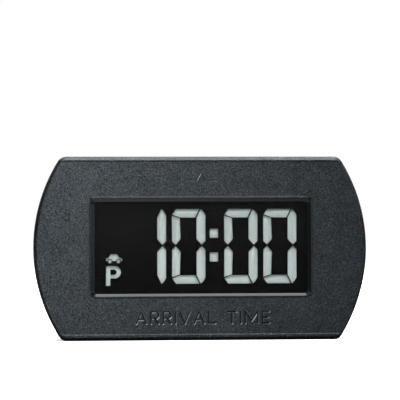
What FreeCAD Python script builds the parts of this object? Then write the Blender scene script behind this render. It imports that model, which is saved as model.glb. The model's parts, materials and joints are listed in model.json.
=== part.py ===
import FreeCAD, Part

import math
import os

# An electronic parking disc: a flat digital clock that is fixed behind a car's windscreen and shows
# the time of arrival. The display looks out through the windscreen, so the keys and the battery
# compartment are on the back, where the driver reaches them.
#
# Millimetres. +X is to the right of someone who reads the display, +Z is up, and the display looks
# towards -Y. The origin is at the middle of the flat lower edge, half way through the thickness.
# A "depth" is measured from the front face of the case, backwards.

# ---- Case ----
DISC_RADIUS = 55.0
HEIGHT = 60.6
DEPTH = 15.0
CORNER_RADIUS = 3.0
WALL = 2.0
REAR_WALL = 1.8
FRONT_CHAMFER = 1.15
FRONT_OUTER_ROUND = 1.2
FRONT_EDGE_ROUND = 0.15
REAR_EDGE_ROUND = 1.6
SPLIT_DEPTH = 8.0
SPLIT_GROOVE = 0.35
TONGUE_HEIGHT = 1.5
TONGUE_INSET = 1.1
FIT_GAP = 0.1
CENTRE_Z = HEIGHT / 2
REAR_INSIDE = DEPTH - REAR_WALL

# ---- Front face: sunk between a lip above, a lip below and a rim round the window ----
FACE_DEPTH = 0.25
UPPER_LIP = 1.4
LOWER_LIP = 1.9
LIP_SLOPE = 0.35
RIM_WIDTH = 0.2
RIM_SLOPE = 0.45

# ---- Window in the front ----
WINDOW_Z = 30.77
MOUTH_SIZE = (72.7, 32.35)
MOUTH_CORNER = 1.9
OPENING_Z = 30.6
OPENING_SIZE = (70.2, 30.3)
OPENING_CORNER = 0.85
BEVEL_DEPTH = 0.7
LENS_SIZE = (74.4, 34.0)
LENS_THICKNESS = 0.8
LENS_CORNER = 1.0
TAPE_THICKNESS = 0.1
TAPE_CORNER = 0.8
TAPE_BORDER = 1.6
LENS_FRONT = BEVEL_DEPTH + TAPE_THICKNESS

# ---- Liquid-crystal display, front to back ----
GLASS_WIDTH = 76.0
GLASS_TOP = 47.7
FRONT_GLASS_BOTTOM = 11.9
REAR_GLASS_BOTTOM = 13.9
GLASS_THICKNESS = 0.55
FILM_THICKNESS = 0.2
CELL_GAP = 0.1
SEAL_WIDTH = 0.8
FILM_BORDER = 1.2
FILM_DEPTH = 1.85
REFLECTOR_BORDER = 0.4
FRONT_GLASS_DEPTH = FILM_DEPTH + FILM_THICKNESS
CELL_DEPTH = FRONT_GLASS_DEPTH + GLASS_THICKNESS
REAR_GLASS_DEPTH = CELL_DEPTH + CELL_GAP
REFLECTOR_DEPTH = REAR_GLASS_DEPTH + GLASS_THICKNESS
REFLECTOR_THICKNESS = 0.15

# ---- What the display shows ----
DIGIT_WIDTH = 11.1
DIGIT_MIDDLE = 31.3
UPPER_REACH = 12.0
LOWER_REACH = 12.65
STROKE = 2.9
BAR_STROKE = 2.8
SEGMENT_GAP = 0.42
DIGIT_LEFTS = (-22.5, -9.5, 7.8, 20.8)
DIGITS_SHOWN = ("1", "0", "0", "0")
SEGMENTS_LIT = {"1": "bc", "0": "abcdef"}
COLON_X = 4.42
COLON_ZS = (27.45, 35.3)
COLON_SIZE = (2.75, 3.0)
SIGN_LEFT = -31.3
SIGN_WIDTH = 4.95
SIGN_HEIGHT = 6.55
SIGN_BOTTOM = 18.05
SIGN_STROKE = 1.45
SIGN_BAR = 1.2
SIGN_BOWL = 4.1
CAR_BOTTOM = 25.5
CAR_SIZE = (5.4, 3.0)
CAR_WHEEL = 0.6
CAR_ARCH = 0.85

# ---- Engraving on the front ----
GROOVE_RISE = 0.05
LABEL_TEXT = "ARRIVAL TIME"
LABEL_WIDTH = 45.0
LABEL_MIDDLE_X = 0.5
LABEL_BOTTOM = 5.15
LABEL_HEIGHT = 4.9
LABEL_STROKE = 1.1
LABEL_DEPTH = 0.38
LABEL_SLOPE = 0.36
ARROW_Z = 53.9
ARROW_WIDTH = 9.6
ARROW_HEIGHT = 2.6
ARROW_STROKE = 0.5
ARROW_DEPTH = 0.25
ARROW_SLOPE = 0.18

# ---- Display holder and circuit board ----
HOLDER_SIZE = (78.0, 37.8)
HOLDER_CORNER = 0.8
HOLDER_WALL = 0.9
HOLDER_LEDGE = 2.0
HOLDER_LEDGE_START = 3.0
HOLDER_Z = (GLASS_TOP + FRONT_GLASS_BOTTOM) / 2
HOLDER_FRONT = 2.1
CONNECTOR_WIDTH = 68.0
CONNECTOR_HEIGHT = 1.8
BOARD_SIZE = (79.0, 46.8)
BOARD_CORNER = 2.0
BOARD_FRONT = 5.2
BOARD_BACK = 6.2
BOARD_SCREW_PLACES = ((-37.0, 21.8), (37.0, 21.8), (-37.0, -21.8), (37.0, -21.8))
BOARD_SCREW_TIP = 2.8
BOARD_BOSS_RADIUS = 2.1

# ---- Parts on the back of the board ----
CHIP_PLACE = (-10.0, 47.3)
CHIP_SIZE = 7.0
CHIP_LIFT = 0.1
CHIP_HEIGHT = 1.2
LEADS_ON_A_SIDE = 8
LEAD_PITCH = 0.8
LEAD_WIDTH = 0.34
LEAD_REACH = 0.9
LEAD_ROOT = 0.2
LEAD_THICKNESS = 0.25
CRYSTAL_PLACE = (6.6, 51.0)
CRYSTAL_RADIUS = 1.0
CRYSTAL_LENGTH = 6.0
CRYSTAL_LEG = (1.8, 0.3)
SENSOR_PLACE = (10.0, 44.5)
SENSOR_SIZE = 3.0
SENSOR_HEIGHT = 1.0
PASSIVE_ROWS = ((-34.0, 5), (27.0, 4))
PASSIVE_PITCH = 2.4
PASSIVE_SIZE = (0.8, 1.6)
PASSIVE_HEIGHT = 0.5
PASSIVE_Z = 42.0

# ---- Screws: hole radius, shank radius, head radius, head height ----
BOARD_SCREW = (0.8, 0.75, 1.5, 0.9)
CASE_SCREW = (1.0, 0.95, 1.9, 1.3)
DOOR_SCREW = (1.05, 1.0, 1.9, 1.0)
SCREW_HOLE_GAP = 0.2
CROSS_LENGTH = 0.62
CROSS_WIDTH = 0.26
CROSS_DEPTH = 0.55
CASE_SCREW_PLACES = ((-45.5, 12.0), (45.5, 12.0), (-45.5, -12.0), (45.5, -12.0))
CASE_SCREW_SEAT = 12.6
CASE_SCREW_TIP = 4.2
CASE_HOLE_FRONT = 3.5
CASE_BOSS_RADIUS = 2.6
HEAD_GAP = 0.3

# ---- Keys ----
KEYS = {"minus": -20.0, "set": 0.0, "plus": 20.0}
KEY_Z = 47.5
KEY_RADIUS = 4.0
KEY_GAP = 0.2
KEY_FLANGE = 5.0
KEY_FLANGE_THICKNESS = 0.8
KEY_STEM = 2.0
KEY_DISH = (56.0, 12.4)
KEY_DISH_DEPTH = 0.5
KEY_ROUND = 0.4
KEY_SLACK = 0.05
KEY_MARK_DEPTH = 0.25
KEY_MARK_ARM = 2.0
KEY_MARK_WIDTH = 0.7
KEY_RING = (1.7, 1.05)
SWITCH_SIZE = 6.0
SWITCH_HEIGHT = 3.4
SWITCH_FLOOR = 1.6
SWITCH_LEG = (1.2, 0.7)
SWITCH_LEG_Z = 2.25
PLUNGER_RADIUS = 1.7
PLUNGER_LIFT = 2.2
PLUNGER_TIP = 11.2

# ---- Coin cells and their compartment ----
CELL_RADIUS = 12.25
CELL_THICKNESS = 5.0
CELL_XS = {"left": -13.0, "right": 13.0}
CELL_Z = 22.0
CELL_FRONT = 8.75
WELL_RADIUS = 12.5
WELL_WALL = 1.2
WELL_FLOOR = (7.6, 8.4)
DOOR_SIZE = (56.6, 29.0)
DOOR_CORNER = 5.0
DOOR_GAP = 0.2
DOOR_THICKNESS = 1.2
DOOR_FRONT = DEPTH - DOOR_THICKNESS
DOOR_ROUND = 0.3
DOOR_SLACK = 0.05
DOOR_LEDGE = 1.5
DOOR_LEDGE_FRONT = 12.2
DOOR_LEDGE_WALL = 1.2
DOOR_SCREW_OFFSET = 11.0
DOOR_SCREW_SEAT = DEPTH - 1.15
DOOR_SCREW_TIP = 10.6
DOOR_HOLE_GAP = 0.15
DOOR_BOSS_RADIUS = 2.9
DOOR_BOSS_FRONT = 12.9
INSERT_RADIUS = 1.6
INSERT_LENGTH = 3.0
THUMB_NOTCH = (5.0, 0.8)
GRIPS = 5
GRIP_SIZE = (0.7, 9.0)
GRIP_PITCH = 1.5
GRIP_DEPTH = 0.3
CONTACT_WIDTH = 4.0
CONTACT_THICKNESS = 0.3
CONTACT_BACK = 12.8
CONTACT_SLOT = (5.0, 13.0)
LEAF_HALF_WIDTH = 1.0
LEAF_LENGTHS = (9.2, 5.0)
LEAF_THICKNESS = 0.2


# ---- Helpers ----
def at(x, z, depth):
    """The point at a depth behind the front face."""
    return FreeCAD.Vector(x, depth - DEPTH / 2, z)


def rod(x, z, radius, start, end):
    """A cylinder along the depth."""
    return Part.makeCylinder(radius, end - start, at(x, z, start), FreeCAD.Vector(0, 1, 0))


def block(x0, x1, z0, z1, start, end):
    return Part.makeBox(x1 - x0, end - start, z1 - z0, at(x0, z0, start))


def extruded(wire, start, end):
    """A prism from a wire drawn at depth 0, between two depths."""
    face = Part.Face(wire)
    face.translate(FreeCAD.Vector(0, start, 0))
    return face.extrude(FreeCAD.Vector(0, end - start, 0))


def polygon(points, start, end):
    corners = [at(x, z, 0) for x, z in points]
    return extruded(Part.makePolygon(corners + corners[:1]), start, end)


def rounded_rectangle(size, corner, x, z, depth=0.0):
    """A closed wire: four straight sides and four quarter circles."""
    half_width = size[0] / 2
    half_height = size[1] / 2
    edges = []
    for sx, sz in ((1, 1), (-1, 1), (-1, -1), (1, -1)):
        cx = x + sx * (half_width - corner)
        cz = z + sz * (half_height - corner)
        side = at(x + sx * half_width, cz, depth)
        end = at(cx, z + sz * half_height, depth)
        middle = at(cx + sx * corner * math.sqrt(0.5), cz + sz * corner * math.sqrt(0.5), depth)
        first, last = (side, end) if sx == sz else (end, side)
        if edges:
            edges.append(Part.makeLine(edges[-1].lastVertex().Point, first))
        edges.append(Part.Arc(first, middle, last).toShape())
    edges.append(Part.makeLine(edges[-1].lastVertex().Point, edges[0].firstVertex().Point))
    return Part.Wire(edges)


def plate(size, corner, x, z, start, end):
    return extruded(rounded_rectangle(size, corner, x, z), start, end)


def case_outline(inset):
    """The disc with its top and bottom cut flat, with rounded corners, moved inwards by an inset."""
    radius = DISC_RADIUS - inset
    half = HEIGHT / 2 - inset
    corner = CORNER_RADIUS - inset
    cx = math.sqrt((radius - corner) ** 2 - (half - corner) ** 2)
    cz = half - corner
    reach = radius / (radius - corner)
    flat_angle = math.pi / 2
    disc_angle = math.atan2(cz, cx)
    middle_angle = (flat_angle + disc_angle) / 2
    bend_x = cx + corner * math.cos(middle_angle)
    bend_z = cz + corner * math.sin(middle_angle)

    def place(sx, sz, x, z):
        return at(sx * x, CENTRE_Z + sz * z, 0)

    edges = []
    for sx in (1, -1):
        low = place(sx, -sx, cx * reach, cz * reach)
        high = place(sx, sx, cx * reach, cz * reach)
        flat = place(sx, sx, cx, half)
        next_flat = place(-sx, sx, cx, half)
        next_disc = place(-sx, sx, cx * reach, cz * reach)
        edges.append(Part.Arc(low, place(sx, sx, radius, 0), high).toShape())
        edges.append(Part.Arc(high, place(sx, sx, bend_x, bend_z), flat).toShape())
        edges.append(Part.makeLine(flat, next_flat))
        edges.append(Part.Arc(next_flat, place(-sx, sx, bend_x, bend_z), next_disc).toShape())
    return Part.Wire(edges)


def case_prism(inset, start, end):
    return extruded(case_outline(inset), start, end)


def edges_at(shape, depth, span=None):
    """The edges that lie wholly at one depth, and, if a span is given, within it of the middle."""
    y = at(0, 0, depth).y
    found = []
    for edge in shape.Edges:
        box = edge.BoundBox
        flat = abs(box.YMin - y) < 1e-4 and abs(box.YMax - y) < 1e-4
        if flat and (span is None or max(abs(box.XMin), abs(box.XMax)) < span):
            found.append(edge)
    return found


def joined(shapes):
    return shapes[0].multiFuse(shapes[1:]).removeSplitter()


def save(name, shape):
    """Write one node; a group of separate pieces is written as their compound."""
    if not shape.isValid():
        raise RuntimeError(name + " is not a valid shape")
    solids = shape.Solids
    whole = solids[0] if len(solids) == 1 else Part.makeCompound(solids)
    whole.exportStep(os.path.join("parts", name + ".step"))
    print(name, len(solids), "solid(s),", round(whole.Volume, 2), "mm3")


# ---- Engraved letters: strokes on a cell 1 high ----
LETTER_WIDTHS = {"A": 0.86, "R": 0.66, "I": 0.0, "V": 0.82, "L": 0.54, "T": 0.72, "M": 1.08,
                 "E": 0.58, " ": 0.3}
LETTER_STROKES = {
    "A": (((0, 0), (0.5, 1)), ((0.5, 1), (1, 0)), ((0.2, 0.34), (0.8, 0.34))),
    "R": (((0, 0), (0, 1)), ((0, 1), (0.8, 1)), ((0.8, 1), (1, 0.84)), ((1, 0.84), (1, 0.6)),
          ((1, 0.6), (0.8, 0.45)), ((0.8, 0.45), (0, 0.45)), ((0.5, 0.45), (1, 0))),
    "I": (((0, 0), (0, 1)),),
    "V": (((0, 1), (0.5, 0)), ((0.5, 0), (1, 1))),
    "L": (((0, 1), (0, 0)), ((0, 0), (1, 0))),
    "T": (((0, 1), (1, 1)), ((0.5, 1), (0.5, 0))),
    "M": (((0, 0), (0, 1)), ((0, 1), (0.5, 0.2)), ((0.5, 0.2), (1, 1)), ((1, 1), (1, 0))),
    "E": (((0, 0), (0, 1)), ((0, 1), (1, 1)), ((0, 0.5), (0.85, 0.5)), ((0, 0), (1, 0))),
    " ": (),
}


def stroke(x0, z0, x1, z1, width, depth, slope):
    """A groove in the sunk face from one point to another, with round ends and sloping sides."""
    length = math.hypot(x1 - x0, z1 - z0)
    side_x = -(z1 - z0) / length
    side_z = (x1 - x0) / length
    mouth = width / 2 + slope * GROOVE_RISE / depth
    floor = width / 2 - slope
    sections = []
    for half, level in ((mouth, FACE_DEPTH - GROOVE_RISE), (floor, FACE_DEPTH + depth)):
        corners = [at(x0 + side_x * half, z0 + side_z * half, level),
                   at(x0 - side_x * half, z0 - side_z * half, level),
                   at(x1 - side_x * half, z1 - side_z * half, level),
                   at(x1 + side_x * half, z1 + side_z * half, level)]
        sections.append(Part.makePolygon(corners + corners[:1]))
    groove = Part.makeLoft(sections, True, True)
    ends = [Part.makeCone(mouth, floor, depth + GROOVE_RISE, at(x, z, FACE_DEPTH - GROOVE_RISE),
                          FreeCAD.Vector(0, 1, 0))
            for x, z in ((x0, z0), (x1, z1))]
    return groove.multiFuse(ends)


def label_grooves():
    """The words as one set of grooves, spread evenly over the label's width."""
    run = LABEL_HEIGHT - LABEL_STROKE
    widths = [LETTER_WIDTHS[letter] * run for letter in LABEL_TEXT]
    spare = LABEL_WIDTH - LABEL_STROKE - sum(widths)
    gap = spare / (len(LABEL_TEXT) - 1)
    x = LABEL_MIDDLE_X - (LABEL_WIDTH - LABEL_STROKE) / 2
    z = LABEL_BOTTOM + LABEL_STROKE / 2
    grooves = []
    for letter, width in zip(LABEL_TEXT, widths):
        for (u0, v0), (u1, v1) in LETTER_STROKES[letter]:
            grooves.append(stroke(x + u0 * width, z + v0 * run, x + u1 * width, z + v1 * run,
                                  LABEL_STROKE, LABEL_DEPTH, LABEL_SLOPE))
        x += width + gap
    return joined(grooves)


def arrow_grooves():
    """A plain mark that says which edge is up: a triangle between two pairs of short bars."""
    half = ARROW_HEIGHT / 2
    low = ARROW_Z - half
    tip = (0.0, ARROW_Z + half)
    left = (-half * 1.15, low)
    right = (half * 1.15, low)
    lines = [(left, tip), (tip, right), (right, left)]
    for side in (-1, 1):
        for z in (low, ARROW_Z):
            lines.append(((side * half * 2.0, z), (side * ARROW_WIDTH / 2, z)))
    return joined([stroke(*start, *end, ARROW_STROKE, ARROW_DEPTH, ARROW_SLOPE) for start, end in lines])


# ---- Front half ----
def sloped(mouth, floor, depth):
    """A solid between a wire at depth 0 and a wire further back, with straight sloping sides."""
    floor.translate(FreeCAD.Vector(0, depth, 0))
    return Part.makeLoft([mouth, floor], True, True)


def window_outline(grow):
    """The mouth of the window, moved outwards all round."""
    size = (MOUTH_SIZE[0] + 2 * grow, MOUTH_SIZE[1] + 2 * grow)
    return rounded_rectangle(size, MOUTH_CORNER + grow, 0, WINDOW_Z)


def lip_outline(inset):
    """The sunk face runs out through both ends of the case, so it has an edge above and below only."""
    low = LOWER_LIP + inset
    high = HEIGHT - UPPER_LIP - inset
    return Part.makePolygon([at(x, z, 0) for x, z in ((-DISC_RADIUS, low), (DISC_RADIUS, low),
                                                      (DISC_RADIUS, high), (-DISC_RADIUS, high),
                                                      (-DISC_RADIUS, low))])


def face_recess():
    """What is sunk below the lips and the rim, down to the face."""
    recess = sloped(lip_outline(0), lip_outline(LIP_SLOPE), FACE_DEPTH)
    rim = sloped(window_outline(RIM_WIDTH), window_outline(RIM_WIDTH + RIM_SLOPE), FACE_DEPTH)
    return recess.cut(rim)


def window_cut():
    """The bevelled mouth of the window and the seat of the lens behind it."""
    opening = rounded_rectangle(OPENING_SIZE, OPENING_CORNER, 0, OPENING_Z)
    bevel = sloped(window_outline(0), opening, BEVEL_DEPTH)
    seat_size = (LENS_SIZE[0] + 2 * FIT_GAP, LENS_SIZE[1] + 2 * FIT_GAP)
    seat = plate(seat_size, LENS_CORNER, 0, WINDOW_Z, BEVEL_DEPTH, WALL + 1)
    return bevel.fuse(seat)


def front_cover():
    shell = case_prism(0, 0, SPLIT_DEPTH)
    shell = shell.makeChamfer(FRONT_CHAMFER, edges_at(shell, 0))
    shell = shell.makeFillet(FRONT_EDGE_ROUND, edges_at(shell, 0))
    shell = shell.cut(face_recess()).cut(window_cut())
    shell = shell.makeFillet(FRONT_EDGE_ROUND, edges_at(shell, 0, MOUTH_SIZE[0] / 2 + 1))
    shell = shell.makeFillet(FRONT_OUTER_ROUND, edges_at(shell, FRONT_CHAMFER))
    shell = shell.cut(case_prism(WALL, WALL, SPLIT_DEPTH + 1))
    rebate_depth = SPLIT_DEPTH - TONGUE_HEIGHT - FIT_GAP
    shell = shell.cut(case_prism(TONGUE_INSET - FIT_GAP, rebate_depth, SPLIT_DEPTH + 1))
    bosses = [rod(x, CENTRE_Z + z, BOARD_BOSS_RADIUS, WALL, BOARD_FRONT) for x, z in BOARD_SCREW_PLACES]
    for x, z in CASE_SCREW_PLACES:
        bosses.append(rod(x, CENTRE_Z + z, CASE_BOSS_RADIUS, WALL, SPLIT_DEPTH - FIT_GAP))
    shell = shell.multiFuse(bosses)
    for x, z in BOARD_SCREW_PLACES:
        shell = shell.cut(rod(x, CENTRE_Z + z, BOARD_SCREW[0], WALL + 0.4, BOARD_FRONT + 1))
    for x, z in CASE_SCREW_PLACES:
        shell = shell.cut(rod(x, CENTRE_Z + z, CASE_SCREW[0], CASE_HOLE_FRONT, SPLIT_DEPTH + 1))
    return shell.cut(label_grooves()).cut(arrow_grooves())


def window_tape():
    """Black double-sided tape between the front and the lens."""
    outer = plate(LENS_SIZE, LENS_CORNER, 0, WINDOW_Z, BEVEL_DEPTH, LENS_FRONT)
    hole = (LENS_SIZE[0] - 2 * TAPE_BORDER, LENS_SIZE[1] - 2 * TAPE_BORDER)
    return outer.cut(plate(hole, TAPE_CORNER, 0, WINDOW_Z, 0, LENS_FRONT + 1))


def display_window():
    return plate(LENS_SIZE, LENS_CORNER, 0, WINDOW_Z, LENS_FRONT, LENS_FRONT + LENS_THICKNESS)


# ---- Liquid-crystal display ----
def glass_sheet(bottom, border, start, thickness):
    half = GLASS_WIDTH / 2 - border
    return block(-half, half, bottom + border, GLASS_TOP - border, start, start + thickness)


def half_segments(reach):
    """Outlines of the bar and the two uprights in half a digit: x from its left, z from its middle."""
    w, s, b, g = DIGIT_WIDTH, STROKE, BAR_STROKE, SEGMENT_GAP
    tip = 1.25
    shoulder = 1.75
    near = g / 2 + 1.9
    bar = [(0.05, reach - shoulder), (1.4, reach), (w - s + 0.9, reach), (w - s - 0.5, reach - b),
           (s - 0.1, reach - b)]
    left = [(0, reach - shoulder - g), (s - 0.25, reach - b - g * 0.6), (s, near), (tip, g / 2),
            (0.05, g / 2 + 1.2)]
    right = [(w - s + 1.35, reach), (w - 0.7, reach - 0.8), (w, reach - 1.95), (w, g / 2 + 1.2),
             (w - tip, g / 2), (w - s - 0.05, near), (w - s - 0.05, reach - b - 0.05)]
    return bar, left, right


def digit_segments(digit, left):
    """The lit segments of one digit. The lower half mirrors the upper half."""
    shapes = []
    for names, reach, up in (("afb", UPPER_REACH, 1), ("dec", LOWER_REACH, -1)):
        for name, outline in zip(names, half_segments(reach)):
            if name in SEGMENTS_LIT[digit]:
                points = [(left + x, DIGIT_MIDDLE + up * z) for x, z in outline]
                shapes.append(polygon(points, CELL_DEPTH - 1, REAR_GLASS_DEPTH + 1))
    return shapes


def parking_sign():
    """The letter P of the parking sign: a stem and a bowl."""
    start = CELL_DEPTH - 1
    end = REAR_GLASS_DEPTH + 1
    top = SIGN_BOTTOM + SIGN_HEIGHT
    right = SIGN_LEFT + SIGN_WIDTH
    radius = SIGN_BOWL / 2
    bowl_z = top - radius
    stem = block(SIGN_LEFT, SIGN_LEFT + SIGN_STROKE, SIGN_BOTTOM, top, start, end)
    bowl = block(SIGN_LEFT, right - radius, top - SIGN_BOWL, top, start, end)
    bowl = bowl.fuse(rod(right - radius, bowl_z, radius, start, end))
    inner = radius - SIGN_BAR
    inner_x = right - SIGN_STROKE - inner
    hole = block(SIGN_LEFT + SIGN_STROKE, inner_x, bowl_z - inner, bowl_z + inner, start, end)
    hole = hole.fuse(rod(inner_x, bowl_z, inner, start, end))
    return stem.fuse(bowl).cut(hole)


def car_sign():
    """A small car seen from the side, above the parking sign: a body with arches and two wheels."""
    w, h = CAR_SIZE
    start = CELL_DEPTH - 1
    end = REAR_GLASS_DEPTH + 1
    outline = [(0.0, 0.24), (0.0, 0.56), (0.16, 0.62), (0.3, 1.0), (0.66, 1.0), (0.82, 0.62),
               (1.0, 0.54), (1.0, 0.24)]
    sign = polygon([(SIGN_LEFT + u * w, CAR_BOTTOM + v * h) for u, v in outline], start, end)
    wheels = [(SIGN_LEFT + u * w, CAR_BOTTOM + CAR_WHEEL) for u in (0.24, 0.76)]
    sign = sign.cut([rod(x, z, CAR_ARCH, start, end) for x, z in wheels])
    return sign.multiFuse([rod(x, z, CAR_WHEEL, start, end) for x, z in wheels])


def dark_field():
    """The liquid crystal where it blocks the light: all but the lit segments."""
    field = glass_sheet(REAR_GLASS_BOTTOM, SEAL_WIDTH, CELL_DEPTH, CELL_GAP)
    lit = [parking_sign(), car_sign()]
    for digit, left in zip(DIGITS_SHOWN, DIGIT_LEFTS):
        lit += digit_segments(digit, left)
    for z in COLON_ZS:
        half_width = COLON_SIZE[0] / 2
        half_height = COLON_SIZE[1] / 2
        lit.append(block(COLON_X - half_width, COLON_X + half_width, z - half_height,
                         z + half_height, CELL_DEPTH - 1, REAR_GLASS_DEPTH + 1))
    return field.cut(lit)


def edge_seal():
    outer = glass_sheet(REAR_GLASS_BOTTOM, 0, CELL_DEPTH, CELL_GAP)
    return outer.cut(glass_sheet(REAR_GLASS_BOTTOM, SEAL_WIDTH, CELL_DEPTH - 1, 2))


def display_holder():
    """The frame that carries the display on the board, with ledges behind the glass."""
    ring = plate(HOLDER_SIZE, HOLDER_CORNER, 0, HOLDER_Z, HOLDER_FRONT, BOARD_FRONT)
    half_width = HOLDER_SIZE[0] / 2 - HOLDER_WALL
    half_height = HOLDER_SIZE[1] / 2 - HOLDER_WALL
    low = HOLDER_Z - half_height
    high = HOLDER_Z + half_height
    ring = ring.cut(block(-half_width, half_width, low, high, HOLDER_FRONT - 1, BOARD_FRONT + 1))
    ledge_front = REFLECTOR_DEPTH + REFLECTOR_THICKNESS
    ledges = [block(-half_width, half_width, high - HOLDER_LEDGE, high, ledge_front, BOARD_FRONT)]
    for side in (-1, 1):
        x0, x1 = sorted((side * half_width, side * (half_width - HOLDER_LEDGE)))
        ledges.append(block(x0, x1, low + HOLDER_LEDGE_START, high, ledge_front, BOARD_FRONT))
    return ring.multiFuse(ledges)


def elastomer_connector():
    low = FRONT_GLASS_BOTTOM + 0.2
    half = CONNECTOR_WIDTH / 2
    return block(-half, half, low, low + CONNECTOR_HEIGHT, CELL_DEPTH, BOARD_FRONT)


def save_display():
    save("window_tape", window_tape())
    save("display_window", display_window())
    save("lcd_front_polarizer", glass_sheet(REAR_GLASS_BOTTOM, FILM_BORDER, FILM_DEPTH, FILM_THICKNESS))
    save("lcd_front_glass", glass_sheet(FRONT_GLASS_BOTTOM, 0, FRONT_GLASS_DEPTH, GLASS_THICKNESS))
    save("lcd_edge_seal", edge_seal())
    save("lcd_dark_field", dark_field())
    save("lcd_rear_glass", glass_sheet(REAR_GLASS_BOTTOM, 0, REAR_GLASS_DEPTH, GLASS_THICKNESS))
    save("lcd_reflector", glass_sheet(REAR_GLASS_BOTTOM, REFLECTOR_BORDER, REFLECTOR_DEPTH,
                                      REFLECTOR_THICKNESS))
    save("lcd_holder", display_holder())
    save("elastomer_connector", elastomer_connector())


# ---- Circuit board ----
def screw(x, z, sizes, seat, tip):
    """A cross-recessed screw whose head lies behind its seat."""
    _, shank, head, height = sizes
    body = rod(x, z, shank, tip, seat).fuse(rod(x, z, head, seat, seat + height))
    body = body.makeFillet(height * 0.35, edges_at(body, seat + height, abs(x) + head + 1))
    arm = head * CROSS_LENGTH
    width = head * CROSS_WIDTH
    sink = height * CROSS_DEPTH
    top = seat + height
    cross = block(x - arm, x + arm, z - width / 2, z + width / 2, top - sink, top + 1)
    cross = cross.fuse(block(x - width / 2, x + width / 2, z - arm, z + arm, top - sink, top + 1))
    return body.cut(cross)


def main_board():
    board = plate(BOARD_SIZE, BOARD_CORNER, 0, CENTRE_Z, BOARD_FRONT, BOARD_BACK)
    radius = BOARD_SCREW[1] + SCREW_HOLE_GAP
    for x, z in BOARD_SCREW_PLACES:
        board = board.cut(rod(x, CENTRE_Z + z, radius, BOARD_FRONT - 1, BOARD_BACK + 1))
    return board


def microcontroller():
    """A square package with leads on all four sides."""
    x, z = CHIP_PLACE
    half = CHIP_SIZE / 2
    front = BOARD_BACK + CHIP_LIFT
    pieces = [block(x - half, x + half, z - half, z + half, front, front + CHIP_HEIGHT)]
    wide = LEAD_WIDTH / 2
    back = BOARD_BACK + LEAD_THICKNESS
    for i in range(LEADS_ON_A_SIDE):
        offset = (i - (LEADS_ON_A_SIDE - 1) / 2) * LEAD_PITCH
        for near, far in ((-half - LEAD_REACH, LEAD_ROOT - half), (half - LEAD_ROOT, half + LEAD_REACH)):
            pieces.append(block(x + near, x + far, z + offset - wide, z + offset + wide, BOARD_BACK, back))
            pieces.append(block(x + offset - wide, x + offset + wide, z + near, z + far, BOARD_BACK, back))
    return joined(pieces)


def clock_crystal():
    """A tuning-fork crystal in a small can, with two legs."""
    x, z = CRYSTAL_PLACE
    axis = BOARD_BACK + CRYSTAL_RADIUS
    can = Part.makeCylinder(CRYSTAL_RADIUS, CRYSTAL_LENGTH, at(x, z, axis), FreeCAD.Vector(1, 0, 0))
    length, width = CRYSTAL_LEG
    root = x + LEAD_ROOT
    legs = []
    for middle in (z - CRYSTAL_RADIUS / 2, z + CRYSTAL_RADIUS / 2):
        legs.append(block(root - length, root, middle - width / 2, middle + width / 2, BOARD_BACK, axis))
    return can.multiFuse(legs)


def motion_sensor():
    x, z = SENSOR_PLACE
    half = SENSOR_SIZE / 2
    return block(x - half, x + half, z - half, z + half, BOARD_BACK, BOARD_BACK + SENSOR_HEIGHT)


def chip_passives():
    """Chip capacitors and resistors in two rows, outside the keys."""
    width, height = PASSIVE_SIZE
    low = PASSIVE_Z - height / 2
    chips = []
    for start, count in PASSIVE_ROWS:
        for i in range(count):
            x = start + i * PASSIVE_PITCH
            chips.append(block(x, x + width, low, low + height, BOARD_BACK, BOARD_BACK + PASSIVE_HEIGHT))
    return Part.makeCompound(chips)


def save_board():
    save("main_board", main_board())
    screws = [screw(x, CENTRE_Z + z, BOARD_SCREW, BOARD_BACK, BOARD_SCREW_TIP)
              for x, z in BOARD_SCREW_PLACES]
    save("board_screws", Part.makeCompound(screws))
    save("microcontroller", microcontroller())
    save("clock_crystal", clock_crystal())
    save("motion_sensor", motion_sensor())
    save("chip_passives", chip_passives())


# ---- Keys ----
def key_switch(x):
    """A push switch on the board, with a bore for its plunger."""
    half = SWITCH_SIZE / 2
    top = BOARD_BACK + SWITCH_HEIGHT
    body = block(x - half, x + half, KEY_Z - half, KEY_Z + half, BOARD_BACK, top)
    body = body.cut(rod(x, KEY_Z, PLUNGER_RADIUS + FIT_GAP, BOARD_BACK + SWITCH_FLOOR, top + 1))
    length, width = SWITCH_LEG
    legs = []
    for near, far in ((-half - length, 0.5 - half), (half - 0.5, half + length)):
        for z in (KEY_Z - SWITCH_LEG_Z, KEY_Z + SWITCH_LEG_Z):
            legs.append(block(x + near, x + far, z - width / 2, z + width / 2,
                              BOARD_BACK, BOARD_BACK + LEAD_THICKNESS))
    return body.multiFuse(legs)


def key_plunger(x):
    return rod(x, KEY_Z, PLUNGER_RADIUS, BOARD_BACK + PLUNGER_LIFT, PLUNGER_TIP)


def key_mark(name, x):
    """The sign sunk into a key: minus, plus, or a ring for setting the clock."""
    top = DEPTH - KEY_MARK_DEPTH
    arm = KEY_MARK_ARM
    half = KEY_MARK_WIDTH / 2
    if name == "set":
        ring = rod(x, KEY_Z, KEY_RING[0], top, DEPTH + 1)
        return ring.cut(rod(x, KEY_Z, KEY_RING[1], top - 1, DEPTH + 2))
    bar = block(x - arm, x + arm, KEY_Z - half, KEY_Z + half, top, DEPTH + 1)
    if name == "plus":
        bar = bar.fuse(block(x - half, x + half, KEY_Z - arm, KEY_Z + arm, top, DEPTH + 1))
    return bar


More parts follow.
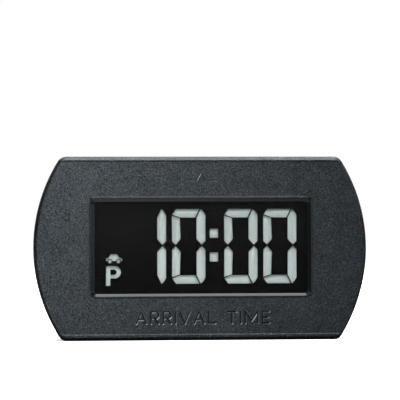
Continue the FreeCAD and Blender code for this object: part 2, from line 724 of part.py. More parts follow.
def key_cap(name, x):
    flange_back = REAR_INSIDE - KEY_SLACK
    flange_front = flange_back - KEY_FLANGE_THICKNESS
    cap = rod(x, KEY_Z, KEY_RADIUS, flange_front, DEPTH)
    cap = cap.makeFillet(KEY_ROUND, edges_at(cap, DEPTH))
    flange = rod(x, KEY_Z, KEY_FLANGE, flange_front, flange_back)
    stem = rod(x, KEY_Z, KEY_STEM, PLUNGER_TIP, flange_front)
    return cap.multiFuse([flange, stem]).cut(key_mark(name, x))


def save_keys():
    for name, x in KEYS.items():
        save(name + "_switch", key_switch(x))
        save(name + "_plunger", key_plunger(x))
        save(name + "_button", key_cap(name, x))


# ---- Rear half ----
def door_hole(grow):
    """The size of the door's opening in the case, or of something wider all round."""
    return DOOR_SIZE[0] + 2 * (DOOR_GAP + grow), DOOR_SIZE[1] + 2 * (DOOR_GAP + grow)


def door_inner(start):
    """The hole inside the ledge that the door rests on."""
    size = (DOOR_SIZE[0] - 2 * DOOR_LEDGE, DOOR_SIZE[1] - 2 * DOOR_LEDGE)
    return plate(size, DOOR_CORNER - DOOR_LEDGE, 0, CELL_Z, start, DEPTH + 1)


def door_seat():
    """The ledge that the battery door rests on, with a wall round it."""
    corner = DOOR_CORNER + DOOR_GAP + DOOR_LEDGE_WALL
    rim = plate(door_hole(DOOR_LEDGE_WALL), corner, 0, CELL_Z, DOOR_LEDGE_FRONT, DOOR_FRONT - DOOR_SLACK)
    return rim.cut(door_inner(DOOR_LEDGE_FRONT - 1))


def door_opening():
    recess = plate(door_hole(0), DOOR_CORNER + DOOR_GAP, 0, CELL_Z, DOOR_FRONT - DOOR_SLACK, DEPTH + 1)
    return recess.fuse(door_inner(DOOR_LEDGE_FRONT - 1))


def cell_wells():
    wells = []
    for x in CELL_XS.values():
        wells.append(rod(x, CELL_Z, WELL_RADIUS + WELL_WALL, WELL_FLOOR[0], DOOR_FRONT - DOOR_SLACK))
    for side in (-1, 1):
        wells.append(rod(0, CELL_Z + side * DOOR_SCREW_OFFSET, DOOR_BOSS_RADIUS,
                         WELL_FLOOR[0], DOOR_BOSS_FRONT))
    return wells


def well_hollows():
    hollows = []
    for name, x in CELL_XS.items():
        hollows.append(rod(x, CELL_Z, WELL_RADIUS, WELL_FLOOR[1], DEPTH + 1))
        side = -1 if name == "left" else 1
        x0, x1 = sorted((x + side * (WELL_RADIUS - 0.6), x + side * (WELL_RADIUS + 0.7)))
        half = CONTACT_SLOT[0] / 2
        hollows.append(block(x0, x1, CELL_Z - half, CELL_Z + half, WELL_FLOOR[0] - 1, CONTACT_SLOT[1]))
        wide = LEAF_HALF_WIDTH + 0.2
        leg_z = CELL_Z - LEAF_LENGTHS[0]
        hollows.append(block(x - wide, x + wide, leg_z - 0.4, leg_z + 0.6,
                             WELL_FLOOR[0] - 1, WELL_FLOOR[1] + 1))
    for side in (-1, 1):
        z = CELL_Z + side * DOOR_SCREW_OFFSET
        hollows.append(rod(0, z, INSERT_RADIUS, WELL_FLOOR[1] + 0.6, DEPTH))
        hollows.append(rod(0, z, DOOR_BOSS_RADIUS + FIT_GAP, DOOR_BOSS_FRONT, DEPTH + 1))
    return hollows


def rear_housing():
    shell = case_prism(0, SPLIT_DEPTH, DEPTH)
    shell = shell.makeFillet(REAR_EDGE_ROUND, edges_at(shell, DEPTH))
    shell = shell.cut(case_prism(WALL, SPLIT_DEPTH - 1, REAR_INSIDE))
    groove = case_prism(-1, SPLIT_DEPTH - 1, SPLIT_DEPTH + SPLIT_GROOVE)
    shell = shell.cut(groove.cut(case_prism(SPLIT_GROOVE, SPLIT_DEPTH - 2, DEPTH)))
    tongue = case_prism(TONGUE_INSET, SPLIT_DEPTH - TONGUE_HEIGHT, SPLIT_DEPTH + 1)
    tongue = tongue.cut(case_prism(WALL, SPLIT_DEPTH - 3, SPLIT_DEPTH + 2))
    bosses = [rod(x, CENTRE_Z + z, CASE_BOSS_RADIUS + 0.6, SPLIT_DEPTH, REAR_INSIDE + 0.5)
              for x, z in CASE_SCREW_PLACES]
    shell = shell.multiFuse([tongue] + bosses)
    shell = shell.cut(door_opening())
    shell = shell.multiFuse([door_seat()] + cell_wells())
    cuts = well_hollows()
    for x, z in CASE_SCREW_PLACES:
        cuts.append(rod(x, CENTRE_Z + z, CASE_SCREW[1] + SCREW_HOLE_GAP, SPLIT_DEPTH - 1, DEPTH + 1))
        cuts.append(rod(x, CENTRE_Z + z, CASE_SCREW[2] + HEAD_GAP, CASE_SCREW_SEAT, DEPTH + 1))
    cuts.append(plate(KEY_DISH, KEY_DISH[1] / 2 - 0.01, 0, KEY_Z, DEPTH - KEY_DISH_DEPTH, DEPTH + 1))
    for x in KEYS.values():
        cuts.append(rod(x, KEY_Z, KEY_RADIUS + KEY_GAP, REAR_INSIDE - 1, DEPTH + 1))
    notch_x = DOOR_SIZE[0] / 2 + DOOR_GAP
    cuts.append(rod(notch_x, CELL_Z, THUMB_NOTCH[0], DEPTH - THUMB_NOTCH[1], DEPTH + 1))
    return shell.cut(cuts).removeSplitter()


# ---- Battery compartment ----
def battery_door():
    door = plate(DOOR_SIZE, DOOR_CORNER, 0, CELL_Z, DOOR_FRONT, DEPTH)
    door = door.makeFillet(DOOR_ROUND, edges_at(door, DEPTH))
    places = [CELL_Z + side * DOOR_SCREW_OFFSET for side in (-1, 1)]
    radius = DOOR_BOSS_RADIUS - FIT_GAP
    door = door.multiFuse([rod(0, z, radius, DOOR_BOSS_FRONT, DOOR_SCREW_SEAT) for z in places])
    for z in places:
        door = door.cut(rod(0, z, DOOR_SCREW[1] + DOOR_HOLE_GAP, DOOR_BOSS_FRONT - 1, DEPTH + 1))
        door = door.cut(rod(0, z, DOOR_SCREW[2] + DOOR_HOLE_GAP, DOOR_SCREW_SEAT, DEPTH + 1))
    grips = []
    for i in range(GRIPS):
        x = DOOR_SIZE[0] / 2 - (i + 2) * GRIP_PITCH
        grips.append(plate(GRIP_SIZE, GRIP_SIZE[0] / 2 - 0.01, x, CELL_Z, DEPTH - GRIP_DEPTH, DEPTH + 1))
    return door.cut(grips)


def thread_insert(z):
    """A brass sleeve for a door screw, with a shallow groove round its middle."""
    front = DOOR_BOSS_FRONT - INSERT_LENGTH
    middle = front + INSERT_LENGTH / 2
    sleeve = rod(0, z, INSERT_RADIUS, front, DOOR_BOSS_FRONT)
    ring = rod(0, z, INSERT_RADIUS + 1, middle - 0.3, middle + 0.3)
    ring = ring.cut(rod(0, z, INSERT_RADIUS - 0.2, middle - 1, middle + 1))
    return sleeve.cut(ring).cut(rod(0, z, DOOR_SCREW[0], front - 1, DEPTH))


def save_coin_cell(side, x):
    """A coin cell in three pieces. Its wide can is the positive pole and faces the door."""
    back = CELL_FRONT + CELL_THICKNESS
    skin = 0.3
    inside = CELL_RADIUS - skin
    cap_radius = inside - 0.65
    can = rod(x, CELL_Z, CELL_RADIUS, CELL_FRONT + 0.15, back)
    can = can.makeFillet(0.25, edges_at(can, back))
    can = can.cut(rod(x, CELL_Z, inside, CELL_FRONT, back - skin))
    seal = rod(x, CELL_Z, inside, CELL_FRONT + 0.1, back - skin)
    seal = seal.cut(rod(x, CELL_Z, cap_radius, CELL_FRONT - 1, back))
    cap = rod(x, CELL_Z, cap_radius, CELL_FRONT, back - skin)
    save("coin_cell_" + side + "_can", can)
    save("coin_cell_" + side + "_seal", seal)
    save("coin_cell_" + side + "_cap", cap)


def negative_contact(x):
    """A leaf on the floor of the well, with a raised dome and a leg down to the board."""
    left = x - LEAF_HALF_WIDTH
    right = x + LEAF_HALF_WIDTH
    low = CELL_Z - LEAF_LENGTHS[0]
    leaf_back = WELL_FLOOR[1] + LEAF_THICKNESS
    leaf = block(left, right, low, CELL_Z + LEAF_LENGTHS[1], WELL_FLOOR[1], leaf_back)
    dome = rod(x, CELL_Z + 2.0, 0.9, leaf_back, CELL_FRONT)
    leg = block(left, right, low, low + LEAF_THICKNESS, BOARD_BACK, WELL_FLOOR[1])
    return leaf.multiFuse([dome, leg])


def positive_contact(side, x):
    """A strip that presses on the can's side and runs through the floor to the board."""
    sign = -1 if side == "left" else 1
    inner = CELL_RADIUS + 0.01
    x0, x1 = sorted((x + sign * inner, x + sign * (inner + CONTACT_THICKNESS)))
    half = CONTACT_WIDTH / 2
    return block(x0, x1, CELL_Z - half, CELL_Z + half, BOARD_BACK, CONTACT_BACK)


def save_battery_parts():
    save("battery_door", battery_door())
    inserts = []
    for name, side in (("lower", -1), ("upper", 1)):
        z = CELL_Z + side * DOOR_SCREW_OFFSET
        save("door_screw_" + name, screw(0, z, DOOR_SCREW, DOOR_SCREW_SEAT, DOOR_SCREW_TIP))
        inserts.append(thread_insert(z))
    save("door_thread_inserts", Part.makeCompound(inserts))
    for side, x in CELL_XS.items():
        save_coin_cell(side, x)
        save("negative_contact_" + side, negative_contact(x))
        save("positive_contact_" + side, positive_contact(side, x))


def main():
    os.makedirs("parts", exist_ok=True)
    save("front_cover", front_cover())
    save_display()
    save_board()
    save_keys()
    save("rear_housing", rear_housing())
    case_screws = [screw(x, CENTRE_Z + z, CASE_SCREW, CASE_SCREW_SEAT, CASE_SCREW_TIP)
                   for x, z in CASE_SCREW_PLACES]
    save("case_screws", Part.makeCompound(case_screws))
    save_battery_parts()


main()
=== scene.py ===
import json
import math

import bpy
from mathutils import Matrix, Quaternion, Vector

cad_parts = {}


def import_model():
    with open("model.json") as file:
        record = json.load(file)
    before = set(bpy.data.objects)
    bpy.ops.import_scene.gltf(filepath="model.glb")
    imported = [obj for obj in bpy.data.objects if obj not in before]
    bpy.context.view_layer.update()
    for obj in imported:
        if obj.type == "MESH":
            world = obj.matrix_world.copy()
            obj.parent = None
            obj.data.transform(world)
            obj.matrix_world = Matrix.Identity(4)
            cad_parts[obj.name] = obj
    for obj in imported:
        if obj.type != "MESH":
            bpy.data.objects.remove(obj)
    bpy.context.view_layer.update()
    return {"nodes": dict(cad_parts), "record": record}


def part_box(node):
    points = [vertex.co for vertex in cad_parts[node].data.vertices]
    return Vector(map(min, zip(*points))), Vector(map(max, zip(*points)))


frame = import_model()

MM = 0.001
SIDEWAYS = Vector((1.0, 0.0, 0.0))
UPRIGHT = Vector((0.0, 0.0, 1.0))
NODES = frame["nodes"]

# ---- Places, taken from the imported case: the display looks towards -Y and the keys are on +Y ----
COVER_LOW, COVER_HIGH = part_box("front_cover")
LENS_LOW, LENS_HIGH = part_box("display_window")
FRONT_Y = COVER_LOW.y
MIDDLE = (0.0, 0.0, (COVER_LOW.z + COVER_HIGH.z) / 2)
# The front's flat face lies a little behind the lip above and below it.
FACE_Y = next(mount["pos_m"][1] for mount in frame["record"]["mounts"] if mount["name"] == "front_face")

# ---- Camera: level, a little to the left, and far enough away to be nearly without perspective ----
# The picture's middle lies above the object's, and its width at the object is the view's width.
SENSOR = 36.0
CAMERA_DISTANCE = 0.8
CAMERA_HEIGHT = 46.28 * MM
CAMERA_SIDE = math.radians(5.0)
CAMERA_ROLL = math.radians(0.12)
CAMERA_NEAREST = 0.01
VIEW_WIDTH = 131.7 * MM
AIM_X = -0.4 * MM

# ---- Node graphs ----
# A noise's scale is in cycles per metre, and most of its values lie in this range.
NOISE = (0.3, 0.7)
WHOLE = (0.0, 1.0)


class Graph:
    """A material's nodes, with short ways to add and join them."""

    def __init__(self, name):
        self.material = bpy.data.materials.new(name)
        self.material.use_nodes = True
        self.tree = self.material.node_tree
        self.tree.nodes.clear()
        self.output = self.tree.nodes.new("ShaderNodeOutputMaterial")

    def node(self, kind, **inputs):
        made = self.tree.nodes.new("ShaderNode" + kind)
        for key, value in inputs.items():
            self.put(made.inputs[key.replace("_", " ")], value)
        return made

    def put(self, socket, value):
        """Join a socket to another, or give it a plain value."""
        if isinstance(value, bpy.types.NodeSocket):
            self.tree.links.new(value, socket)
        else:
            socket.default_value = value

    def fill(self, made, *values):
        """Put values into a node's inputs, in their order."""
        for socket, value in zip(made.inputs, values):
            self.put(socket, value)
        return made

    def math(self, operation, *values):
        made = self.node("Math")
        made.operation = operation
        return self.fill(made, *values).outputs[0]

    def vector_math(self, operation, *values):
        made = self.node("VectorMath")
        made.operation = operation
        return self.fill(made, *values).outputs

    def add(self, first, second):
        return self.math("ADD", first, second)

    def times(self, first, second):
        return self.math("MULTIPLY", first, second)

    def other_than(self, mask):
        """The mask of every place outside a mask."""
        return self.math("SUBTRACT", 1.0, mask)

    def place(self):
        return self.node("TexCoord").outputs["Object"]

    def coordinates(self):
        """The place's x, y and z."""
        return self.node("SeparateXYZ", Vector=self.place()).outputs

    def distance_from(self, middle):
        """How far the place is from a point."""
        return self.vector_math("DISTANCE", self.place(), middle)["Value"]

    def facing(self):
        """The surface's direction."""
        return self.node("NewGeometry").outputs["Normal"]

    def leaning(self, amount):
        """The surface's direction, turned towards the front (-Y) by an amount."""
        lean = self.node("CombineXYZ", Y=self.times(amount, -1.0))
        turned = self.vector_math("ADD", self.facing(), lean.outputs[0])[0]
        return self.vector_math("NORMALIZE", turned)[0]

    def noise(self, scale, detail=2.0, roughness=0.5, vector=None):
        made = self.node("TexNoise", Scale=scale, Detail=detail, Roughness=roughness)
        self.put(made.inputs["Vector"], vector or self.place())
        return made.outputs[0]

    def spread(self, value, old, new):
        """A value taken from one range to another, and held inside it."""
        made = self.node("MapRange", Value=value)
        made.inputs["From Min"].default_value, made.inputs["From Max"].default_value = old
        made.inputs["To Min"].default_value, made.inputs["To Max"].default_value = new
        return made.outputs[0]

    def mix(self, factor, first, second):
        """A colour between two others."""
        made = self.node("Mix")
        made.data_type = "RGBA"
        self.put(made.inputs[0], factor)
        for socket, value in ((made.inputs[6], first), (made.inputs[7], second)):
            self.put(socket, (*value, 1.0) if isinstance(value, tuple) else value)
        return made.outputs[2]

    def blend(self, factor, first, second):
        """A number between two others."""
        return self.add(self.times(first, self.other_than(factor)), self.times(second, factor))

    def bump(self, height, distance, strength=1.0, normal=None):
        made = self.node("Bump", Height=height, Distance=distance, Strength=strength)
        if normal:
            self.put(made.inputs["Normal"], normal)
        return made.outputs[0]

    def mix_shader(self, factor, first, second):
        return self.fill(self.node("MixShader"), factor, first.outputs[0], second.outputs[0])

    def principled(self, **inputs):
        return self.show(self.node("BsdfPrincipled", **inputs))

    def show(self, shader):
        """Make a shader the material's surface."""
        self.tree.links.new(shader.outputs[0], self.output.inputs["Surface"])
        return shader


def coat(slot_names, material):
    """Give every CAD node of those slots the material."""
    for part in frame["record"]["subparts"]:
        if part["material_slot"] in slot_names:
            mesh = NODES[part["node"]].data
            mesh.materials.clear()
            mesh.materials.append(material)


# ---- Case: spark-eroded grain in near-black plastic ----
CASE_DARK = (0.0006, 0.0009, 0.0011)
CASE_LIGHT = (0.0068, 0.0084, 0.0096)
CASE_SPECK = (0.040, 0.045, 0.049)
CASE_SHEEN = (0.80, 0.92, 1.0, 1.0)
GRAIN_SCALE = 2300.0
GRAIN_RAGGED = 0.6
GRAIN_TONES = (0.33, 0.67)
GRAIN_ROUGHNESS = (0.55, 0.46)
GRAIN_GLOSS = (0.16, 0.6)
GRAIN_DEPTH = 0.10 * MM
GRAIN_STRENGTH = 0.6
FINE_SCALE = 6500.0
FINE_SHARE = 0.4
CLOUD_SCALE = 140.0
CLOUD_SHARE = 0.18
SPECK_SCALE = 2600.0
SPECK_PEAKS = (0.62, 0.74)
SPECK_SHARE = 0.8
SPECK_GLOSS = 0.9

# ---- Case: its smoother places, which are the window's bevel and the engraving ----
# The smooth plastic's own dark colour, set this dark partly as painted shade for the engraving's floor.
SMOOTH = (0.0020, 0.0026, 0.0032)
BEVEL_ROUGHNESS = 0.17
BEVEL_GLOSS = (0.20, 0.36)
ENGRAVED_ROUGHNESS = 0.31
ENGRAVED_WALL_GLOSS = 1.0
# The floor's low gloss is painted shade: it keeps the groove's floor dark where its shadow falls.
PAINTED_SHADE_FLOOR_GLOSS = 0.12
# How squarely the engraving's walls and its floor look to the front, where 1 is straight on.
WALL_TO_FLOOR = (0.6, 0.95)
# The engraving's walls are rounded: their direction leans this much towards the front.
ENGRAVED_LEAN = 1.7
# The lens is larger than the window's mouth by this border on every side.
MOUTH_BORDER = 0.75 * MM
# The engraving is what lies deeper than this in the face, within a reach on either side of the middle,
# and clear of the case's upper and lower edges.
ENGRAVED_DEPTH = 0.04 * MM
ENGRAVED_REACH = 36.6 * MM
CASE_EDGE = 1.8 * MM
# Everything further back than this keeps its grain.
FRONT_DEPTH = 2.0 * MM


def smooth_areas(g):
    """Two masks for the grained front: the window's bevel, and the engraving above and below it."""
    x, y, z = g.coordinates()

    def inside(reach, low, high):
        across = g.math("LESS_THAN", g.math("ABSOLUTE", x), reach)
        up = g.times(g.math("GREATER_THAN", z, low), g.math("LESS_THAN", z, high))
        front = g.math("LESS_THAN", y, FACE_Y + FRONT_DEPTH)
        return g.times(front, g.times(across, up))

    bevel = inside(LENS_HIGH.x - MOUTH_BORDER, LENS_LOW.z + MOUTH_BORDER, LENS_HIGH.z - MOUTH_BORDER)
    face = inside(ENGRAVED_REACH, COVER_LOW.z + CASE_EDGE, COVER_HIGH.z - CASE_EDGE)
    sunk = g.times(face, g.math("GREATER_THAN", y, FACE_Y + ENGRAVED_DEPTH))
    return bevel, g.times(sunk, g.other_than(bevel))


def groove_shine_and_shade(g):
    """The engraving's gloss: its walls shine, and its floor hardly does, which is painted shade in the
    groove's floor.
    """
    frontal = g.math("ABSOLUTE", g.node("SeparateXYZ", Vector=g.facing()).outputs["Y"])
    return g.spread(frontal, WALL_TO_FLOOR, (ENGRAVED_WALL_GLOSS, PAINTED_SHADE_FLOOR_GLOSS))


def grained_plastic(name, with_front):
    """Spark-eroded grain: fine bumps, a few bright specks and a faint cloudiness."""
    g = Graph(name)
    grain = g.noise(GRAIN_SCALE, roughness=GRAIN_RAGGED)
    fine = g.noise(FINE_SCALE, detail=1.0)
    cloud = g.spread(g.noise(CLOUD_SCALE), NOISE, (0.0, CLOUD_SHARE))
    speck = g.spread(g.noise(SPECK_SCALE, detail=1.0), SPECK_PEAKS, (0.0, SPECK_SHARE))
    tone = g.add(g.times(g.spread(grain, GRAIN_TONES, WHOLE), 1.0 - CLOUD_SHARE), cloud)
    colour = g.mix(speck, g.mix(tone, CASE_DARK, CASE_LIGHT), CASE_SPECK)
    height = g.add(grain, g.times(fine, FINE_SHARE))
    rough = g.spread(grain, NOISE, GRAIN_ROUGHNESS)
    gloss = g.add(g.spread(tone, WHOLE, GRAIN_GLOSS), g.times(speck, SPECK_GLOSS))
    normal = None
    if with_front:
        bevel, engraved = smooth_areas(g)
        smooth = g.add(bevel, engraved)
        colour = g.mix(smooth, colour, SMOOTH)
        height = g.blend(smooth, height, 0.0)
        rough = g.blend(bevel, g.blend(engraved, rough, ENGRAVED_ROUGHNESS), BEVEL_ROUGHNESS)
        uneven = g.spread(tone, WHOLE, BEVEL_GLOSS)
        # The engraving's floor gets painted shade from its low gloss.
        gloss = g.blend(bevel, g.blend(engraved, gloss, groove_shine_and_shade(g)), uneven)
        normal = g.leaning(g.times(engraved, ENGRAVED_LEAN))
    g.principled(Base_Color=colour, Roughness=rough, Specular_IOR_Level=gloss, Specular_Tint=CASE_SHEEN,
                 Normal=g.bump(height, GRAIN_DEPTH, GRAIN_STRENGTH, normal))
    return g.material


# ---- Display ----
WINDOW_TINT = (0.99, 0.995, 0.992, 1.0)
# The window hardly mirrors, so this is lower than the index of clear plastic.
WINDOW_INDEX = 1.2
WINDOW_ROUGHNESS = (0.06, 0.1)
HAZE_SCALE = 60.0
HAZE_NOISE = (0.3, 0.8)
BONDED_SCALE = 40.0
FIELD_DARK = (0.0014, 0.0015, 0.0016)
FIELD_LIGHT = (0.0020, 0.0021, 0.0022)
FIELD_DRIFT_SCALE = 45.0
FIELD_TEXTURE_SCALE = 900.0
FIELD_ROUGHNESS = (0.5, 0.6)
FIELD_GLOSS = 0.03
FOIL_DARK = (0.71, 0.77, 0.772)
FOIL_LIGHT = (0.77, 0.835, 0.837)
FOIL_SPARKLE_SCALE = 5200.0
FOIL_DRIFT_SCALE = 50.0
FOIL_DRIFT_SHARE = 0.3
FOIL_ROUGHNESS = 0.7
FOIL_GLOSS = 0.1


def clear_window():
    """Clear plastic, with the reflections of its polished faces."""
    g = Graph("clear_window")
    clear = g.node("BsdfTransparent", Color=WINDOW_TINT)
    haze = g.spread(g.noise(HAZE_SCALE, detail=3.0), HAZE_NOISE, WINDOW_ROUGHNESS)
    shine = g.node("BsdfGlossy", Roughness=haze)
    share = g.node("Fresnel", IOR=WINDOW_INDEX).outputs[0]
    g.show(g.mix_shader(share, clear, shine))
    return g.material


def bonded_sheet(name, pale, tinted):
    """A sheet glued to its neighbours, so its faces don't reflect: it only tints what is behind."""
    g = Graph(name)
    tint = g.mix(g.noise(BONDED_SCALE), pale, tinted)
    g.show(g.node("BsdfTransparent", Color=tint))
    return g.material


def dark_field():
    """The liquid-crystal layer where it is dark."""
    g = Graph("dark_field")
    drift = g.noise(FIELD_DRIFT_SCALE, detail=1.0)
    colour = g.mix(g.spread(drift, NOISE, WHOLE), FIELD_DARK, FIELD_LIGHT)
    rough = g.spread(g.noise(FIELD_TEXTURE_SCALE), NOISE, FIELD_ROUGHNESS)
    g.principled(Base_Color=colour, Roughness=rough, Specular_IOR_Level=FIELD_GLOSS)
    return g.material


def reflector_foil():
    """The pale diffusing foil that the lit segments show."""
    g = Graph("reflector_foil")
    sparkle = g.noise(FOIL_SPARKLE_SCALE, detail=1.0)
    drift = g.noise(FOIL_DRIFT_SCALE, detail=1.0)
    tone = g.add(g.spread(sparkle, NOISE, (0.0, 1.0 - FOIL_DRIFT_SHARE)),
                 g.spread(drift, NOISE, (0.0, FOIL_DRIFT_SHARE)))
    colour = g.mix(tone, FOIL_DARK, FOIL_LIGHT)
    g.principled(Base_Color=colour, Roughness=FOIL_ROUGHNESS, Specular_IOR_Level=FOIL_GLOSS)
    return g.material


def dress_display():
    coat(["clear_window"], clear_window())
    coat(["dark_field"], dark_field())
    coat(["reflector_foil"], reflector_foil())
    coat(["polarizer_film"],
         bonded_sheet("polarizer_film", pale=(0.996, 0.998, 0.997), tinted=(0.992, 0.995, 0.993)))
    coat(["display_glass"],
         bonded_sheet("display_glass", pale=(0.997, 0.999, 0.998), tinted=(0.994, 0.998, 0.996)))


# ---- Plain surfaces ----
TAPE_BUMP = 0.03 * MM
MOULDED_BUMP = 0.02 * MM
FINE_BUMP = 0.01 * MM
EVEN = (1.0, 1.0, 1.0)
# Drawn sheet has a texture of short lines.
DRAWN = (1.0, 1.0, 12.0)


def mottled(name, dark, light, scale, rough, bump, metallic=0.0, stretch=EVEN):
    """A plain moulded, turned or drawn surface: two close tones, uneven gloss and a fine texture."""
    g = Graph(name)
    place = g.node("Mapping", Vector=g.place(), Scale=stretch).outputs[0]
    texture = g.noise(scale, detail=3.0, vector=place)
    colour = g.mix(g.spread(texture, NOISE, WHOLE), dark, light)
    g.principled(Base_Color=colour, Roughness=g.spread(texture, NOISE, rough), Metallic=metallic,
                 Normal=g.bump(texture, bump))
    return g.material


def dress_plastics():
    coat(["key_plastic"],
         mottled("key_plastic", dark=(0.018, 0.020, 0.023), light=(0.026, 0.029, 0.032),
                 scale=3000.0, rough=(0.5, 0.38), bump=MOULDED_BUMP))
    coat(["switch_body", "switch_plunger", "chip_epoxy", "cell_seal"],
         mottled("moulded_black", dark=(0.014, 0.014, 0.015), light=(0.024, 0.024, 0.026),
                 scale=2500.0, rough=(0.6, 0.45), bump=MOULDED_BUMP))
    coat(["holder_plastic", "seal_resin"],
         mottled("holder_plastic", dark=(0.62, 0.62, 0.60), light=(0.72, 0.72, 0.70),
                 scale=800.0, rough=(0.55, 0.45), bump=MOULDED_BUMP))
    coat(["black_tape", "conductive_rubber"],
         mottled("black_tape", dark=(0.008, 0.008, 0.009), light=(0.014, 0.014, 0.015),
                 scale=1500.0, rough=(0.8, 0.65), bump=TAPE_BUMP))


def dress_board():
    coat(["circuit_board"],
         mottled("circuit_board", dark=(0.008, 0.075, 0.030), light=(0.014, 0.115, 0.045),
                 scale=350.0, rough=(0.4, 0.28), bump=MOULDED_BUMP))
    coat(["chip_ceramic"],
         mottled("chip_ceramic", dark=(0.24, 0.17, 0.10), light=(0.36, 0.27, 0.17),
                 scale=4000.0, rough=(0.6, 0.45), bump=FINE_BUMP))


def dress_metals():
    coat(["screw_steel"],
         mottled("screw_steel", dark=(0.30, 0.30, 0.31), light=(0.42, 0.42, 0.42),
                 scale=1200.0, rough=(0.42, 0.28), bump=FINE_BUMP, metallic=1.0))
    coat(["crystal_can", "cell_steel", "contact_spring"],
         mottled("bright_steel", dark=(0.50, 0.50, 0.50), light=(0.64, 0.64, 0.63),
                 scale=900.0, rough=(0.36, 0.24), bump=FINE_BUMP, metallic=1.0, stretch=DRAWN))
    coat(["insert_brass"],
         mottled("insert_brass", dark=(0.55, 0.38, 0.14), light=(0.72, 0.52, 0.22),
                 scale=1500.0, rough=(0.4, 0.25), bump=FINE_BUMP, metallic=1.0))


def dress():
    coat(["grained_case"], grained_plastic("grained_case", with_front=True))
    coat(["grained_door"], grained_plastic("grained_door", with_front=False))
    dress_display()
    dress_plastics()
    dress_board()
    dress_metals()


# ---- Floor ----
FLOOR_SIZE = 12.0
PAPER_DARK = (0.86, 0.86, 0.86)
PAPER_LIGHT = (0.92, 0.92, 0.92)
PAPER_SCALE = 30.0
# Painted light: the camera sees the paper glow, less at the object and more from some way off.
GLOW_COLOUR = (1.0, 1.0, 1.0, 1.0)
GLOW_PLACES = (0.08, 0.5)
GLOW_STRENGTHS = (0.62, 0.97)
# What the object mirrors is a pale patch in front of it and a little to the left, on a dark floor: the
# patch is a painted pool of light for the object's bevels and edges to mirror.
PATCH_PALE = 0.6
PATCH_DARK = 0.05
PATCH_LEFT = 0.035
PATCH_PLACES = (0.03, 0.12)
# The patch starts in front of the object's foot and fades to dark towards it: painted shade where the
# foot's contact shadow falls.
FOOT_SHADE_PLACES = (-0.03, -0.014)


def seen_floor(g):
    """What the camera sees: pale paper with a painted glow that brightens it to white away from the
    object.
    """
    colour = g.mix(g.noise(PAPER_SCALE, detail=4.0), PAPER_DARK, PAPER_LIGHT)
    lit = g.node("BsdfDiffuse", Color=colour)
    glow = g.node("Emission", Color=GLOW_COLOUR)
    fade = g.spread(g.distance_from((0.0, 0.0, 0.0)), GLOW_PLACES, GLOW_STRENGTHS)
    g.put(glow.inputs["Strength"], fade)
    return g.fill(g.node("AddShader"), lit.outputs[0], glow.outputs[0])


def mirrored_floor(g):
    """What the object mirrors: a painted pool of light on a dark floor, with painted shade at the object's
    foot.
    """
    foot_shade_fade = g.spread(g.coordinates()["Y"], FOOT_SHADE_PLACES, (1.0, 0.0))
    near = g.spread(g.distance_from((-PATCH_LEFT, 0.0, 0.0)), PATCH_PLACES, (PATCH_PALE - PATCH_DARK, 0.0))
    return g.node("BsdfDiffuse", Color=g.add(g.times(near, foot_shade_fade), PATCH_DARK))


def floor():
    bpy.ops.mesh.primitive_plane_add(size=FLOOR_SIZE, location=(0, 0, 0))
    plane = bpy.context.object
    plane.name = "floor"
    g = Graph("floor")
    by_camera = g.node("LightPath").outputs["Is Camera Ray"]
    g.show(g.mix_shader(by_camera, mirrored_floor(g), seen_floor(g)))
    plane.data.materials.append(g.material)


# ---- Lights: places and sizes in metres, power in watts ----
def area_light(name, place, size, power, aim=MIDDLE, roll=0.0):
    """A rectangular light at a place, turned towards another."""
    data = bpy.data.lights.new(name, "AREA")
    data.shape = "RECTANGLE"
    data.size, data.size_y = size
    data.energy = power
    lamp = bpy.data.objects.new(name, data)
    bpy.context.scene.collection.objects.link(lamp)
    lamp.location = place
    direction = Vector(aim) - Vector(place)
    turn = direction.to_track_quat("-Z", "Y") @ Quaternion(UPRIGHT, roll)
    lamp.rotation_euler = turn.to_euler()
    return lamp


def softboxes():
    """The studio's lights: a main one that shows in no reflection, one above and one behind."""
    key = area_light("softbox_key", place=(0.07, -0.72, 0.86), size=(0.7, 0.7), power=19.4)
    key.visible_glossy = False
    area_light("softbox_overhead", place=(0.0, 0.0, 0.5), size=(0.5, 0.4), power=6.0)
    area_light("softbox_back", place=(0.35, 0.5, 0.4), size=(0.4, 0.4), power=5.0)


def sheen_cards():
    """Cards that show only as the case's sheen and in its bevels and engraving."""
    cards = [area_light("softbox_sheen", place=(-0.062, -0.2, 0.13), size=(0.11, 0.11), power=0.49),
             area_light("softbox_corner", place=(-0.17, -0.33, 0.15), size=(0.22, 0.22), power=0.36),
             area_light("softbox_right", place=(0.5, -0.25, 0.04), size=(0.3, 0.3), power=0.35)]
    for card in cards:
        card.visible_diffuse = False


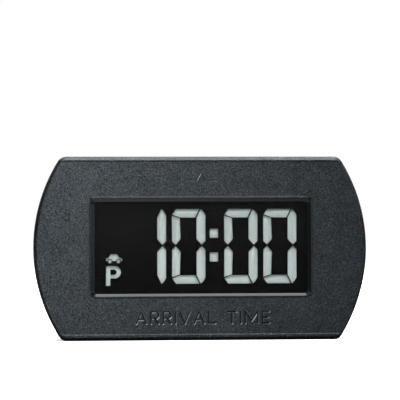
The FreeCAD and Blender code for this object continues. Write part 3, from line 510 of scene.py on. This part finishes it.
def window_cards():
    """Two weak cards behind the camera, square to the window, which mirrors them."""
    area_light("window_veil", place=(0.1, -1.2, 0.1), size=(0.4, 0.2), power=0.09, aim=(0.1, 0.0, 0.1))
    area_light("window_glow", place=(-0.105, -1.2, 0.166), size=(0.4, 0.4), power=0.62,
               aim=(-0.105, 0.0, 0.166), roll=math.radians(45))


# ---- World: white to the camera, and dim to everything else ----
WORLD_SEEN = (1.0, 1.0, 1.0, 1.0)
WORLD_DIM = (0.05, 0.052, 0.055, 1.0)


def world():
    made = bpy.data.worlds.new("studio")
    bpy.context.scene.world = made
    made.use_nodes = True
    nodes = made.node_tree.nodes
    links = made.node_tree.links
    nodes.clear()
    out = nodes.new("ShaderNodeOutputWorld")
    mix = nodes.new("ShaderNodeMixShader")
    path = nodes.new("ShaderNodeLightPath")
    links.new(path.outputs["Is Camera Ray"], mix.inputs[0])
    for socket, colour in ((mix.inputs[1], WORLD_DIM), (mix.inputs[2], WORLD_SEEN)):
        background = nodes.new("ShaderNodeBackground")
        background.inputs["Color"].default_value = colour
        links.new(background.outputs[0], socket)
    links.new(mix.outputs[0], out.inputs["Surface"])


def camera():
    data = bpy.data.cameras.new("camera")
    data.sensor_width = SENSOR
    data.lens = SENSOR * CAMERA_DISTANCE / VIEW_WIDTH
    data.clip_start = CAMERA_NEAREST
    shot = bpy.data.objects.new("camera", data)
    bpy.context.scene.collection.objects.link(shot)
    shot.location = (AIM_X - CAMERA_DISTANCE * math.sin(CAMERA_SIDE),
                     FRONT_Y - CAMERA_DISTANCE * math.cos(CAMERA_SIDE), CAMERA_HEIGHT)
    level = Quaternion(UPRIGHT, -CAMERA_SIDE) @ Quaternion(SIDEWAYS, math.pi / 2)
    shot.rotation_euler = (level @ Quaternion(UPRIGHT, -CAMERA_ROLL)).to_euler()
    bpy.context.scene.camera = shot


# The display's clear sheets lie one behind the other, and light crosses both faces of each.
CLEAR_FACES = 32

dress()
floor()
softboxes()
sheen_cards()
window_cards()
world()
camera()
bpy.context.scene.view_settings.view_transform = "Standard"
bpy.context.scene.cycles.transparent_max_bounces = CLEAR_FACES
